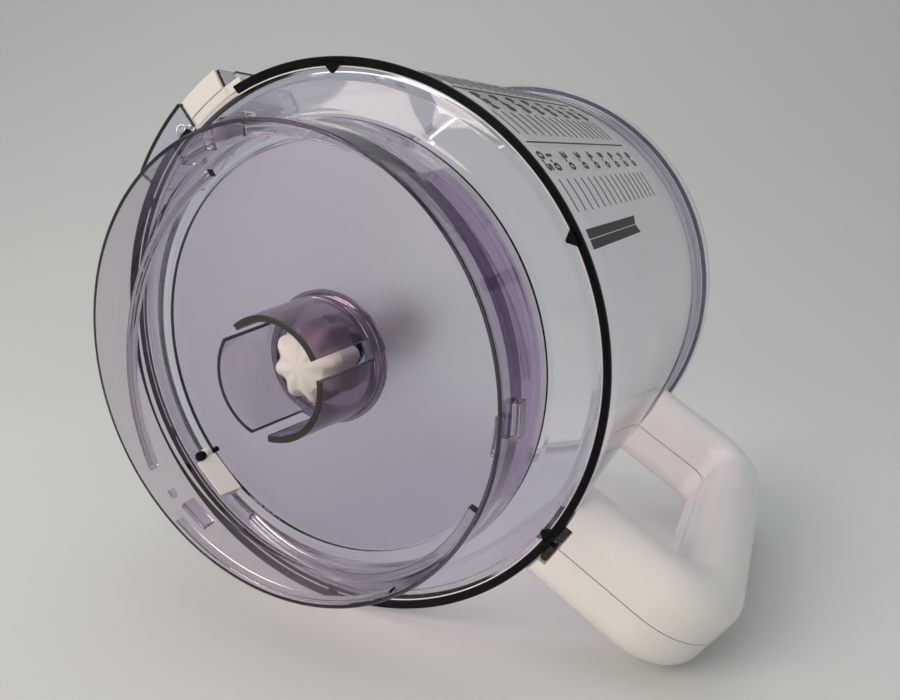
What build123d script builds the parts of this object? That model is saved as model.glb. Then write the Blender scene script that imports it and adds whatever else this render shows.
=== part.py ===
from build123d import *
import math
import os

# Work bowl of a food processor, standing on its locking skirt. Millimetres.
# Z is the bowl's axis, z = 0 is the plane of the skirt's rim, and the handle points along +X.

# Bowl shell
wall_thickness = 2.6
floor_thickness = 2.6
floor_z = 26.0
shoulder_width = 10.8
ring_seat_z = 34.0
wall_base_radius = 78.5
wall_flare = 5.9
rim_overhang = 3.6
rim_height = 6.0
bowl_height = 176.0
corner_height = 8.0

# Bearing boss in the middle of the floor
boss_radius = 11.0
boss_height = 36.0
bush_outer_radius = 6.0

# Locking skirt under the floor
skirt_inset = 3.4
skirt_rim_wall = 3.2
skirt_rim_height = 4.0
skirt_wall = 2.4
skirt_root_height = 4.5
skirt_flare_height = 7.0
ramp_count = 3
ramp_first_angle = 112.0
ramp_arc = 66.0
ramp_low_z = 7.0
ramp_rise = 13.0
ramp_width = 2.4
ramp_depth = 2.2
lug_angles = (-30.0, 90.0, -132.0)
lug_width = 9.0
lug_depth = 2.0
lug_height = 5.0

# Split centre collar
collar_tip_radius = 16.5
collar_root_radius = 18.2
collar_bore_radius = 14.6
collar_bore_depth = 11.0
collar_relief = 0.5
collar_flange_radius = 19.2
collar_flange_height = 1.2
collar_slot_count = 3
collar_slot_width = 5.2
collar_slot_first_angle = 71.5
collar_slot_end = 4.4

# Anti-slip ring under the edge of the wall
ring_recess = 0.2
ring_width = 1.5
ring_bottom_z = 29.0
ring_gap = 0.05
nub_count = 6
nub_width = 4.6
nub_depth = 2.0
nub_height = 1.4

# Drive spindle and its fittings
spindle_radius = 4.0
spindle_bottom_z = 17.5
spindle_top_z = 92.0
spindle_flat_length = 20.0
spindle_flat_depth = 0.9
running_clearance = 0.05
press_clearance = 0.02
axial_gap = 0.3
lower_bush_length = 10.0
upper_bush_length = 10.0
seal_height = 3.0
seal_radius = 8.0
washer_radius = 9.0
washer_thickness = 0.7
clip_radius = 7.0
clip_thickness = 1.0
clip_groove_depth = 0.5
clip_mouth = 5.0

# Drive coupling with rounded lobes
coupling_radius = 11.5
coupling_lobe_height = 1.7
coupling_lobes = 8
coupling_tip_z = 12.0
coupling_dome_radius = 16.0
points_per_lobe = 6

# Handle in two halves
handle_width = 30.0
handle_depth = 17.6
handle_corner = 8.2
handle_shell = 2.8
handle_low_z = 35.4
handle_high_z = 139.0
grip_low_reach = 40.6
grip_high_reach = 44.0
handle_bend = 14.0
handle_wall_gap = 0.8
tongue_length = 17.0
tongue_width = 9.0
tongue_height = 8.6
screw_radius = 1.8
screw_head_radius = 3.4
screw_head_height = 2.0
screw_bite = 8.0
screw_boss_radius = 4.6
clip_plate_width = 13.2
clip_plate_depth = 3.0
clip_plate_height = 10.5
clip_plate_drop = 6.5
clip_plate_gap = 0.4

# Interlock on the outside of the wall
guide_start = -177.5
guide_end = -148.5
guide_depth = 9.9
guide_shell = 1.5
guide_bottom_z = 31.0
guide_top_z = 66.0
slider_clearance = 0.3
slider_arc = 10.0
slider_bottom_z = 32.2
slider_arm_arc = 9.0
slider_arm_height = 8.0
slider_top_z = 59.0
slider_stem_arc = 4.0
slider_stem_rise = 13.0
slider_foot_step = 0.5
slider_foot_height = 1.0
slider_lip_width = 4.7
slider_lip_arc = 5.0
spring_wire = 0.35
spring_turns = 6
spring_coil_radius = 1.5

# Locking pawl beside the skirt, under the floor
pawl_pin_angle = 109.0
pawl_pin_inset = 1.9
pawl_pin_radius = 2.0
pawl_head_radius = 3.0
pawl_head_height = 1.2
pawl_length = 11.5
pawl_width = 5.6
pawl_height = 5.0
pawl_tip_cut = 2.5

# Sizes that follow from the ones above
wall_top_radius = wall_base_radius + wall_flare
rim_radius = wall_top_radius + rim_overhang
rim_bottom_z = bowl_height - rim_height
ring_outer_radius = wall_base_radius - ring_recess
ring_seat_radius = ring_outer_radius - ring_width
floor_flat_radius = ring_seat_radius - shoulder_width
wall_draft = (wall_top_radius - wall_base_radius) / (rim_bottom_z - ring_seat_z)
floor_top_z = floor_z + floor_thickness
boss_top_z = floor_top_z + boss_height
seal_bottom_z = boss_top_z - seal_height
skirt_rim_radius = floor_flat_radius - skirt_inset
skirt_inner_radius = skirt_rim_radius - skirt_rim_wall
skirt_wall_radius = skirt_inner_radius + skirt_wall
skirt_root_z = floor_z - skirt_root_height
skirt_flare_z = skirt_root_z - skirt_flare_height
washer_top_z = floor_z - axial_gap
washer_bottom_z = washer_top_z - washer_thickness
clip_bottom_z = boss_top_z + axial_gap
grip_low_x = wall_base_radius + grip_low_reach
grip_high_x = wall_base_radius + grip_high_reach
guide_radius = wall_base_radius + guide_depth
guide_inner_radius = guide_radius - guide_shell
pawl_pin_orbit = skirt_inner_radius - pawl_pin_inset
foot_bottom_z = slider_bottom_z + slider_foot_step
foot_top_z = foot_bottom_z + slider_foot_height
lip_outer_radius = ring_seat_radius + slider_clearance + slider_lip_width


def wall_radius(height):
    return wall_base_radius + (height - ring_seat_z) * wall_draft


def turned(points, start=0.0, arc=360.0):
    outline = Polyline(*[(radius, 0, height) for radius, height in points], close=True)
    return Rot(0, 0, start) * revolve(make_face(outline), axis=Axis.Z, revolution_arc=arc)


def tube(inner, outer, bottom, top):
    return turned([(inner, bottom), (outer, bottom), (outer, top), (inner, top)])


def rod(radius, bottom, top):
    return Pos(0, 0, bottom) * Cylinder(radius, top - bottom, align=(Align.CENTER, Align.CENTER, Align.MIN))


def bowl_envelope(gap):
    return turned([
        (0, 0),
        (ring_outer_radius + gap, 0),
        (ring_outer_radius + gap, ring_seat_z),
        (wall_base_radius + gap, ring_seat_z),
        (wall_top_radius + gap, rim_bottom_z),
        (wall_top_radius + gap, bowl_height),
        (0, bowl_height),
    ])


# Two arms and a leaning grip, drawn as one line for the handle's middle.
def handle_line():
    start = (ring_seat_radius - wall_thickness, 0, handle_low_z)
    low = (grip_low_x, 0, handle_low_z)
    high = (grip_high_x, 0, handle_high_z)
    end = (ring_seat_radius - wall_thickness, 0, handle_high_z)
    return FilletPolyline(start, low, high, end, radius=handle_bend)


def handle_bar(inset):
    line = handle_line()
    section = RectangleRounded(handle_width - 2 * inset, handle_depth - 2 * inset, handle_corner - inset)
    return sweep(Plane(line @ 0, x_dir=(0, 1, 0), z_dir=(1, 0, 0)) * section, path=line)


def lug_x(height):
    return wall_radius(height) + tongue_length - screw_boss_radius


def screw_places():
    grip_low = handle_low_z + handle_bend + screw_boss_radius
    grip_high = handle_high_z - handle_bend - screw_boss_radius
    lean = (grip_high_x - grip_low_x) / (handle_high_z - handle_low_z)
    return [
        (lug_x(handle_low_z), handle_low_z, tongue_width / 2),
        (lug_x(handle_high_z), handle_high_z, tongue_width / 2),
        (grip_low_x + (grip_low - handle_low_z) * lean, grip_low, 0.0),
        (grip_low_x + (grip_high - handle_low_z) * lean, grip_high, 0.0),
    ]


def across(radius, place, y_from, y_to):
    x, z, _ = place
    low = min(y_from, y_to)
    bar = Cylinder(radius, abs(y_to - y_from), align=(Align.CENTER, Align.CENTER, Align.MAX))
    return Pos(x, low, z) * Rot(90, 0, 0) * bar


# The tongues and the T-shaped clip that carry the handle are moulded with the bowl.
def bowl_tongue(height):
    radius = wall_radius(height)
    return Pos(radius + tongue_length / 2, 0, height) * Box(
        tongue_length + 2 * wall_thickness, tongue_width, tongue_height)


def clip_plate(gap):
    root = wall_base_radius - wall_thickness
    reach = ring_outer_radius + handle_wall_gap + clip_plate_depth + gap
    middle_z = ring_seat_z - clip_plate_drop + clip_plate_height / 2
    return Pos((root + reach) / 2, 0, middle_z) * Box(
        reach - root, clip_plate_width + 2 * gap, clip_plate_height + 2 * gap)


# The notch for the clip in the handle, which is open on the handle's underside.
def clip_notch():
    notch = clip_plate(clip_plate_gap)
    return notch + Pos(0, 0, -clip_plate_height) * notch


def make_bowl():
    shell = turned([
        (bush_outer_radius, floor_z),
        (floor_flat_radius, floor_z),
        (ring_seat_radius - nub_depth - ring_gap, ring_bottom_z + nub_height),
        (ring_seat_radius, ring_bottom_z + nub_height),
        (ring_seat_radius, ring_seat_z),
        (wall_base_radius, ring_seat_z),
        (wall_top_radius, rim_bottom_z),
        (rim_radius, rim_bottom_z),
        (rim_radius, bowl_height),
        (wall_top_radius - wall_thickness, bowl_height),
        (wall_radius(ring_seat_z + corner_height) - wall_thickness, ring_seat_z + corner_height),
        (floor_flat_radius, floor_top_z),
        (boss_radius, floor_top_z),
        (boss_radius, boss_top_z),
        (seal_radius, boss_top_z),
        (seal_radius, seal_bottom_z),
        (bush_outer_radius, seal_bottom_z),
    ])
    hollow = turned([
        (0, floor_top_z),
        (floor_flat_radius, floor_top_z),
        (wall_radius(ring_seat_z + corner_height) - wall_thickness, ring_seat_z + corner_height),
        (wall_top_radius - wall_thickness, bowl_height),
        (0, bowl_height),
    ])
    holders = bowl_tongue(handle_low_z) + bowl_tongue(handle_high_z) + clip_plate(0.0)
    ring_space = tube(0, ring_outer_radius + ring_gap, 0, ring_seat_z)
    bowl = shell + (holders - hollow - ring_space)
    for place in screw_places()[:2]:
        bowl -= across(screw_radius + running_clearance, place, -tongue_width, tongue_width)
    return bowl


def make_ring():
    ring = tube(ring_seat_radius + ring_gap, ring_outer_radius, ring_bottom_z, ring_seat_z)
    for index in range(nub_count):
        tip = ring_seat_radius - nub_depth
        root = ring_seat_radius + ring_gap
        outline = Polyline((tip, 0), (root, -nub_width / 2), (root, nub_width / 2), close=True)
        nub = extrude(make_face(outline), nub_height - ring_gap)
        overlap = Box(ring_outer_radius - root, nub_width, nub_height - ring_gap,
                      align=(Align.MIN, Align.CENTER, Align.MIN))
        whole = nub + Pos(root, 0, 0) * overlap
        ring += Rot(0, 0, index * 360 / nub_count) * Pos(0, 0, ring_bottom_z) * (
            whole & rod(ring_outer_radius, 0, nub_height))
    return ring - foot_passage(ring_bottom_z - nub_height, ring_seat_z + nub_height)


def make_skirt():
    outer = floor_flat_radius
    skirt = turned([
        (skirt_inner_radius, 0),
        (skirt_rim_radius, 0),
        (skirt_rim_radius, skirt_rim_height),
        (skirt_wall_radius, skirt_rim_height + skirt_rim_wall - skirt_wall),
        (skirt_wall_radius, skirt_flare_z),
        (outer, skirt_root_z),
        (outer, floor_z),
        (outer - skirt_wall, floor_z),
        (outer - skirt_wall, skirt_root_z),
        (skirt_inner_radius, skirt_flare_z),
    ])
    for index in range(ramp_count):
        skirt += Rot(0, 0, ramp_first_angle + index * 360 / ramp_count) * locking_ramp()
    for angle in lug_angles:
        lug = Pos(skirt_wall_radius - skirt_wall / 2, 0, skirt_rim_height) * Box(
            lug_depth + skirt_wall, lug_width, lug_height, align=(Align.MIN, Align.CENTER, Align.MIN))
        skirt += Rot(0, 0, angle) * lug
    return skirt


# One bayonet ramp: a bar that climbs the inside of the skirt along a helix.
def locking_ramp():
    pitch = ramp_rise * 360 / ramp_arc
    line = Pos(0, 0, ramp_low_z) * Helix(pitch, ramp_rise, skirt_inner_radius)
    start = Plane(line @ 0, x_dir=(1, 0, 0), z_dir=line % 0)
    section = start * Rectangle(2 * ramp_depth, ramp_width)
    bar = sweep(section, path=line, is_frenet=True)
    return bar & rod(skirt_inner_radius + skirt_wall / 2, 0, floor_z)


def make_collar():
    collar = turned([
        (collar_bore_radius, 0),
        (collar_tip_radius, 0),
        (collar_root_radius, floor_z - collar_flange_height),
        (collar_flange_radius, floor_z - collar_flange_height),
        (collar_flange_radius, floor_z),
        (collar_bore_radius + collar_relief, floor_z),
        (collar_bore_radius + collar_relief, collar_bore_depth),
        (collar_bore_radius, collar_bore_depth),
    ])
    slot_height = floor_z - collar_slot_end
    for index in range(collar_slot_count):
        slot = Box(2 * collar_root_radius, collar_slot_width, slot_height,
                   align=(Align.MIN, Align.CENTER, Align.MIN))
        collar -= Rot(0, 0, collar_slot_first_angle + index * 360 / collar_slot_count) * slot
    return collar


def make_coupling():
    count = coupling_lobes * points_per_lobe
    middle = coupling_radius - coupling_lobe_height / 2
    points = []
    for index in range(count):
        angle = 2 * math.pi * index / count
        radius = middle + coupling_lobe_height / 2 * math.cos(coupling_lobes * angle)
        points.append((radius * math.cos(angle), radius * math.sin(angle)))
    star = make_face(Spline(*points, periodic=True))
    body = Pos(0, 0, coupling_tip_z) * extrude(star, washer_bottom_z - coupling_tip_z)
    dome = Pos(0, 0, coupling_tip_z + coupling_dome_radius) * Sphere(coupling_dome_radius)
    dome += rod(2 * coupling_radius, coupling_tip_z + coupling_dome_radius / 2, washer_bottom_z)
    return (body & dome) - rod(spindle_radius + press_clearance, spindle_bottom_z, washer_bottom_z)


def make_spindle():
    spindle = rod(spindle_radius, spindle_bottom_z, spindle_top_z)
    groove_inner = spindle_radius - clip_groove_depth
    spindle -= tube(groove_inner, 2 * spindle_radius, clip_bottom_z, clip_bottom_z + clip_thickness)
    for side in (-1, 1):
        flat = Box(2 * spindle_radius, 2 * spindle_radius, spindle_flat_length,
                   align=(Align.CENTER, Align.CENTER, Align.MAX))
        offset = side * (2 * spindle_radius - spindle_flat_depth)
        spindle -= Pos(offset, 0, spindle_top_z) * flat
    return spindle


def make_bush(bottom, length):
    return tube(spindle_radius + running_clearance, bush_outer_radius - press_clearance, bottom, bottom + length)


def make_seal():
    return tube(spindle_radius + running_clearance, seal_radius - press_clearance, seal_bottom_z, boss_top_z)


def make_washer():
    return tube(spindle_radius + press_clearance, washer_radius, washer_bottom_z, washer_top_z)


def make_clip():
    inner = spindle_radius - clip_groove_depth + press_clearance
    clip = tube(inner, clip_radius, clip_bottom_z, clip_bottom_z + clip_thickness)
    mouth = Box(clip_radius, clip_mouth, clip_thickness, align=(Align.MIN, Align.CENTER, Align.MIN))
    return clip - Pos(0, 0, clip_bottom_z) * mouth


# One half of the handle: a hollow shell with a boss at each screw, cut back from the wall and the tongues.
def make_handle_half(side):
    bar = handle_bar(0.0) - bowl_envelope(handle_wall_gap)
    shell = bar - handle_bar(handle_shell)
    half_width = handle_width / 2
    for place in screw_places():
        boss = across(screw_boss_radius, place, side * place[2], side * half_width)
        shell += boss & bar
    shell -= clip_notch()
    keep = Box(
        4 * grip_high_x, 2 * handle_width, 2 * bowl_height,
        align=(Align.CENTER, Align.MIN if side > 0 else Align.MAX, Align.CENTER))
    half = shell & keep
    for place in screw_places():
        bite_end = -place[2] - screw_bite
        half -= across(screw_radius + press_clearance, place, bite_end, half_width)
        seat = half_width - handle_shell + press_clearance
        half -= across(screw_head_radius + press_clearance, place, seat, handle_width)
    return half


def make_screws():
    screws = []
    seat = handle_width / 2 - handle_shell + 2 * press_clearance
    for place in screw_places():
        shank = across(screw_radius, place, press_clearance - place[2] - screw_bite, seat + screw_head_height / 2)
        head = across(screw_head_radius, place, seat, seat + screw_head_height)
        screws.append(shank + head)
    return Compound(screws)


# Clear housing welded to the wall: a roof, a floor and two ends round the sliding block.
def make_guide():
    gap = ring_gap
    arc = guide_end - guide_start
    seat = [
        (wall_radius(guide_bottom_z + guide_shell) + gap + guide_shell, guide_bottom_z),
        (guide_radius, guide_bottom_z),
        (guide_radius, guide_top_z),
        (wall_radius(guide_top_z) + gap, guide_top_z),
        (wall_radius(ring_seat_z) + gap, ring_seat_z + gap),
        (wall_radius(ring_seat_z) + gap + guide_shell, ring_seat_z + gap),
    ]
    block = turned(seat, guide_start, arc)
    end_angle = math.degrees(guide_shell / guide_radius)
    pocket = turned(
        slider_outline(guide_bottom_z + guide_shell, guide_top_z - guide_shell, 0.0),
        guide_start + end_angle, arc - 2 * end_angle)
    mouth = turned(
        slider_outline(guide_bottom_z - guide_shell, guide_top_z - guide_shell, 0.0),
        slider_start() - slider_margin(), slider_arc + 2 * slider_margin())
    stem_hole = turned(
        slider_outline(slider_top_z, guide_top_z + guide_shell, 0.0),
        stem_start() - slider_margin(), slider_stem_arc + 2 * slider_margin())
    passage = foot_passage(guide_bottom_z - guide_shell, foot_top_z + slider_clearance)
    return block - pocket - mouth - stem_hole - passage


# The way that the slider's foot and its lip take down past the ring and the edge of the housing.
def foot_passage(bottom, top):
    inner = ring_seat_radius - ring_gap
    lip = lip_outer_radius + slider_clearance
    start = slider_start() - slider_margin()
    arc = slider_arc + 2 * slider_margin()
    foot_way = turned(
        [(inner, bottom), (guide_inner_radius, bottom), (guide_inner_radius, top), (inner, top)], start, arc)
    lip_way = turned([(inner, bottom), (lip, bottom), (lip, top), (inner, top)], start, arc + slider_lip_arc)
    return foot_way + lip_way


def slider_margin():
    return math.degrees(slider_clearance / guide_radius)


def slider_start():
    return guide_end - math.degrees(guide_shell / guide_radius) - slider_margin() - slider_arc


def stem_start():
    return slider_start() + (slider_arc - slider_stem_arc) / 2


# The space between the wall and the housing, or a body in it that stays clear by the gap.
def slider_outline(bottom, top, gap):
    inner = wall_radius(top) + ring_gap + guide_shell + gap
    outer = guide_inner_radius - gap
    return [(inner, bottom), (outer, bottom), (outer, top), (inner, top)]


def make_slider():
    gap = slider_clearance
    block = turned(slider_outline(slider_bottom_z, slider_top_z, gap), slider_start(), slider_arc)
    arm_bottom = slider_top_z - slider_arm_height
    arm = turned(slider_outline(arm_bottom, slider_top_z, gap), slider_start() - slider_arm_arc,
                 slider_arm_arc + slider_arc)
    stem_top = slider_top_z + slider_stem_rise
    stem = turned(slider_outline(slider_top_z - slider_arm_height, stem_top, gap), stem_start(), slider_stem_arc)
    foot = turned(
        [(ring_seat_radius + gap, foot_bottom_z), (guide_inner_radius - gap, foot_bottom_z),
         (guide_inner_radius - gap, foot_top_z), (ring_seat_radius + gap, foot_top_z)],
        slider_start(), slider_arc)
    lip = turned(
        [(ring_seat_radius + gap, foot_bottom_z), (lip_outer_radius, foot_bottom_z),
         (lip_outer_radius, foot_top_z), (ring_seat_radius + gap, foot_top_z)],
        slider_start(), slider_arc + slider_lip_arc)
    return block + arm + stem + foot + lip


def make_spring():
    bottom = guide_bottom_z + guide_shell + spring_wire + press_clearance
    top = slider_top_z - slider_arm_height - spring_wire - press_clearance
    middle = (wall_radius(slider_top_z) + ring_gap + guide_shell + guide_inner_radius) / 2
    angle = math.radians(slider_start() - slider_arm_arc / 2)
    line = Helix((top - bottom) / spring_turns, top - bottom, spring_coil_radius)
    wire = sweep(Plane(line @ 0, z_dir=line % 0) * Circle(spring_wire), path=line, is_frenet=True)
    return Pos(middle * math.cos(angle), middle * math.sin(angle), bottom) * wire


def pawl_pin_place():
    angle = math.radians(pawl_pin_angle)
    return Pos(pawl_pin_orbit * math.cos(angle), pawl_pin_orbit * math.sin(angle), 0)


def make_pawl_pin():
    pawl_bottom = floor_z - axial_gap - pawl_height
    head_top = pawl_bottom - axial_gap
    pin = rod(pawl_pin_radius, head_top - pawl_head_height, floor_z)
    pin += rod(pawl_head_radius, head_top - pawl_head_height, head_top)
    return pawl_pin_place() * pin


# The pawl lies along the inside of the skirt, from its pin towards the handle, with a slanted tip.
def make_pawl():
    bottom = floor_z - axial_gap - pawl_height
    half = pawl_width / 2
    outline = Polyline(
        (0, -half), (pawl_length, -half), (pawl_length + pawl_tip_cut, half), (0, half), close=True)
    bar = extrude(make_face(outline), pawl_height) + Cylinder(
        half, pawl_height, align=(Align.CENTER, Align.CENTER, Align.MIN))
    bar -= rod(pawl_pin_radius + running_clearance, -pawl_height, 2 * pawl_height)
    lean = math.degrees(pawl_length / pawl_pin_orbit) / 2
    return pawl_pin_place() * Rot(0, 0, pawl_pin_angle - 90 - lean) * Pos(0, 0, bottom) * bar


nodes = {
    "bowl": make_bowl(),
    "locking_skirt": make_skirt(),
    "centre_collar": make_collar(),
    "anti_slip_ring": make_ring(),
    "drive_coupling": make_coupling(),
    "drive_spindle": make_spindle(),
    "lower_bush": make_bush(floor_z, lower_bush_length),
    "upper_bush": make_bush(seal_bottom_z - upper_bush_length, upper_bush_length),
    "shaft_seal": make_seal(),
    "thrust_washer": make_washer(),
    "retaining_clip": make_clip(),
    "handle_left_half": make_handle_half(1),
    "handle_right_half": make_handle_half(-1),
    "handle_screws": make_screws(),
    "interlock_guide": make_guide(),
    "interlock_slider": make_slider(),
    "interlock_spring": make_spring(),
    "locking_pawl": make_pawl(),
    "pawl_pin": make_pawl_pin(),
}

os.makedirs("parts", exist_ok=True)
for name, shape in nodes.items():
    shape.label = name
    export_step(shape, f"parts/{name}.step")
    print(name, len(shape.solids()), round(shape.volume, 1), shape.is_valid)
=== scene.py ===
import math

import bpy
from mathutils import Matrix, Vector


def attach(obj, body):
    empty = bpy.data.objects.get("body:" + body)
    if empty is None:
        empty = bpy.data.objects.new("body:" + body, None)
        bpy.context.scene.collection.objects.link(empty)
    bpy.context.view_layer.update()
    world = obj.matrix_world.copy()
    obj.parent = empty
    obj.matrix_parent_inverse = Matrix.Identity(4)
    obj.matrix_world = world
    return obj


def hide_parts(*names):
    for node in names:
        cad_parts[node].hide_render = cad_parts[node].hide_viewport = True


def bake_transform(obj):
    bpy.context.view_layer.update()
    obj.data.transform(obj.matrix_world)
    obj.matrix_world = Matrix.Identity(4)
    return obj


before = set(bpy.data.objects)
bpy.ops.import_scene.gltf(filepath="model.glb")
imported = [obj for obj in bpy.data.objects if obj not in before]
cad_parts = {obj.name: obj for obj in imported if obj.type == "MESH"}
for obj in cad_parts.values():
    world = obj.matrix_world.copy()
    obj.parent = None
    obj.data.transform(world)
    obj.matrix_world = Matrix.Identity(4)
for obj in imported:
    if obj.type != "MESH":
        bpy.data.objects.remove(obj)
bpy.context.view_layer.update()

# Camera
# A wide lens close to the bowl, which lies on its side and shows its underside.
# Its place and turn come from the round edges of the bowl, in the bowl's own frame.
image_width = 900
focal_pixels = 679.2
camera_place = Vector((0.0664, -0.1002, -0.1269))
camera_right = Vector((0.7619, -0.4874, 0.4265)).normalized()
camera_up = -Vector((0.6104, 0.7605, -0.2214)).normalized()
lens_data = bpy.data.cameras.new("photo_camera")
lens_data.sensor_width = 36
lens_data.lens = lens_data.sensor_width * focal_pixels / image_width
lens_data.clip_start = 0.01
camera = bpy.data.objects.new("photo_camera", lens_data)
bpy.context.scene.collection.objects.link(camera)
camera_turn = Matrix((camera_right, camera_up, camera_right.cross(camera_up))).transposed()
camera.matrix_world = Matrix.Translation(camera_place) @ camera_turn.to_4x4()
bpy.context.scene.camera = camera
bpy.context.scene.view_settings.view_transform = "Standard"
# Many clear walls lie behind one another, so light needs more steps than usual to come through.
clear_wall_steps = 24
bpy.context.scene.cycles.max_bounces = clear_wall_steps
bpy.context.scene.cycles.transmission_bounces = clear_wall_steps
bpy.context.scene.cycles.transparent_max_bounces = clear_wall_steps

# Floor and backdrop
# A seamless pale sweep. The bowl lies on its rim, its ring and the side of its handle, and the floor runs
# close under all three. Seen from behind, the sweep lets everything through.
rim_overhang = 8
rim_rise = 147
lie_angle = math.radians(56.6)
lie_tilt = math.atan2(rim_overhang, rim_rise)
floor_distance = 0.0788
floor_half = 1.3
sweep_radius = 0.9
sweep_height = 1.2
sweep_steps = 24
sweep_edge = 0.01
sweep_weld = 1e-5
floor_forward = 0.30
floor_up = -Vector((
    math.cos(lie_angle) * math.cos(lie_tilt),
    math.sin(lie_angle) * math.cos(lie_tilt),
    -math.sin(lie_tilt),
))
floor_right = (camera_right - camera_right.project(floor_up)).normalized()
floor_away = floor_up.cross(floor_right)


def linear(code):
    """Turns an sRGB hex colour into linear red, green, blue and alpha."""
    shares = [int(code[i:i + 2], 16) / 255 for i in (1, 3, 5)]
    return [s / 12.92 if s <= 0.04045 else ((s + 0.055) / 1.055) ** 2.4 for s in shares] + [1.0]


def add_node(material, kind, settings=None, **inputs):
    """Adds a shader node, sets its options, and sets or links its sockets by name."""
    tree = material.node_tree
    node = tree.nodes.new(kind)
    for option, value in (settings or {}).items():
        setattr(node, option, value)
    for socket, value in inputs.items():
        target = node.inputs[int(socket[1:]) if socket[1:].isdigit() else socket.replace("_", " ")]
        if isinstance(value, bpy.types.NodeSocket):
            tree.links.new(value, target)
        else:
            target.default_value = value
    return node


def new_material(name):
    """Makes an empty material that is built from nodes."""
    material = bpy.data.materials.new(name)
    material.use_nodes = True
    material.node_tree.nodes.clear()
    return material


# Matt paper: it scatters light evenly, with a faint cloudiness where it was handled.
paper = new_material("matt_paper_sweep")
paper_place = add_node(paper, "ShaderNodeTexCoord").outputs["Object"]
paper_cloud = add_node(paper, "ShaderNodeTexNoise", Vector=paper_place, Scale=3.0, Detail=3.0)
paper_tone = add_node(paper, "ShaderNodeMix", {"data_type": "RGBA"}, _0=paper_cloud.outputs["Fac"],
                      _6=linear("#d4d6d4"), _7=linear("#dadbd9"))
paper_face = add_node(paper, "ShaderNodeBsdfDiffuse", Color=paper_tone.outputs[2])
paper_back = add_node(paper, "ShaderNodeBsdfTransparent")
paper_side = add_node(paper, "ShaderNodeNewGeometry")
paper_mix = add_node(paper, "ShaderNodeMixShader", _0=paper_side.outputs["Backfacing"],
                     _1=paper_face.outputs[0], _2=paper_back.outputs[0])
add_node(paper, "ShaderNodeOutputMaterial", Surface=paper_mix.outputs[0])

bpy.ops.object.select_all(action="DESELECT")
bpy.ops.mesh.primitive_plane_add(size=2 * floor_half)
sweep = bpy.context.object
sweep.name = "floor_sweep"
bpy.ops.object.mode_set(mode="EDIT")
bpy.ops.mesh.select_all(action="SELECT")
bpy.ops.transform.translate(value=(0, floor_forward - floor_half, 0))
bpy.ops.mesh.select_all(action="DESELECT")
bpy.ops.object.mode_set(mode="OBJECT")
for edge in sweep.data.edges:
    edge.select = all(sweep.data.vertices[v].co.y > floor_forward - sweep_edge for v in edge.vertices)
bpy.ops.object.mode_set(mode="EDIT")
bpy.ops.mesh.select_mode(type="EDGE")
bpy.ops.mesh.spin(steps=sweep_steps, angle=math.radians(-90), center=(0, floor_forward, sweep_radius),
                  axis=(1, 0, 0))
bpy.ops.mesh.extrude_region_move(TRANSFORM_OT_translate={"value": (0, 0, sweep_height)})
bpy.ops.mesh.select_all(action="SELECT")
bpy.ops.mesh.remove_doubles(threshold=sweep_weld)
bpy.ops.mesh.select_mode(type="VERT")
bpy.ops.object.mode_set(mode="OBJECT")
floor_turn = Matrix((floor_right, floor_away, floor_up)).transposed().to_4x4()
sweep.matrix_world = Matrix.Translation(-floor_up * floor_distance) @ floor_turn
bpy.ops.object.transform_apply()
bpy.ops.object.shade_smooth()
sweep.data.materials.append(paper)

# Lights
# Soft daylight: a large window panel on the left that leaves no reflection, a wide one overhead, a weak one
# on the right, and a pale sky all round. A small pane behind only shows in gloss and through clear plastic.
sky_tint = "#e3e7e9"
sky_strength = 0.53
world = bpy.data.worlds.new("soft_room")
bpy.context.scene.world = world
world.use_nodes = True
world.node_tree.nodes["Background"].inputs["Color"].default_value = linear(sky_tint)
world.node_tree.nodes["Background"].inputs["Strength"].default_value = sky_strength
light_plan = (
    ("window_left", (-0.66, -0.52, 0.50), (0.50, 0.60), 6.2, "#fff0e2"),
    ("window_behind", (-0.28, -0.62, 0.72), (0.28, 0.22), 1.3, "#fff4ea"),
    ("window_right", (0.70, -0.15, 0.75), (0.40, 0.60), 0.2, "#eaf2ff"),
    ("window_top", (-0.10, 0.15, 1.00), (0.9, 0.6), 2.0, "#f2f6fa"),
)
aim = Vector((0.02, 0.02, 0.09))
for light_name, (right, away, up), (wide, tall), watts, light_tint in light_plan:
    panel = bpy.data.lights.new(light_name, "AREA")
    panel.shape = "RECTANGLE"
    panel.size = wide
    panel.size_y = tall
    panel.energy = watts
    panel.color = linear(light_tint)[:3]
    lamp = bpy.data.objects.new(light_name, panel)
    bpy.context.scene.collection.objects.link(lamp)
    lamp.visible_diffuse = light_name != "window_behind"
    lamp.visible_glossy = light_name != "window_left"
    lamp.location = floor_right * right + floor_away * away + floor_up * (up - floor_distance)
    lamp.rotation_euler = (lamp.location - aim).to_track_quat("Z", "Y").to_euler()

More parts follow.
